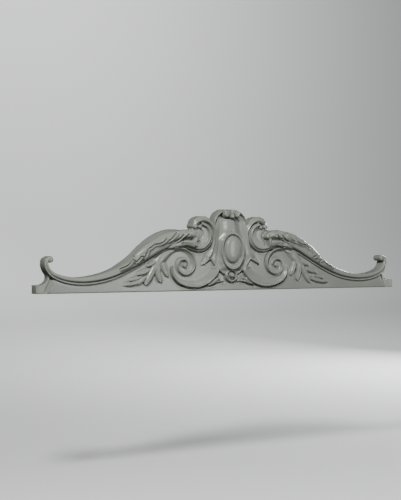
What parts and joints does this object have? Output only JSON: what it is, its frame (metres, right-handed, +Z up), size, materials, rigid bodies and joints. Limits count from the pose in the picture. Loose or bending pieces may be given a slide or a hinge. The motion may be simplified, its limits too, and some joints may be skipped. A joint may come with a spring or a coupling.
{
  "type": "scroll onlay",
  "caption": "Flat-backed overdoor ornament: a hooded cartouche between two swan-neck arms with leaves, volutes and rolled ends.",
  "frame": {"origin": "middle of the flat back, halfway up the overall height", "axes": "+X along the width, -Y out of the wall towards the viewer, +Z up"},
  "size_m": [1.275, 0.062, 0.25],
  "materials": {
    "moulded_body": "matte pale grey-green primer on moulded rigid polyurethane, fine moulded grain"
  },
  "bodies": {
    "root": {"scroll_onlay": "moulded_body"}
  },
  "joints": []
}
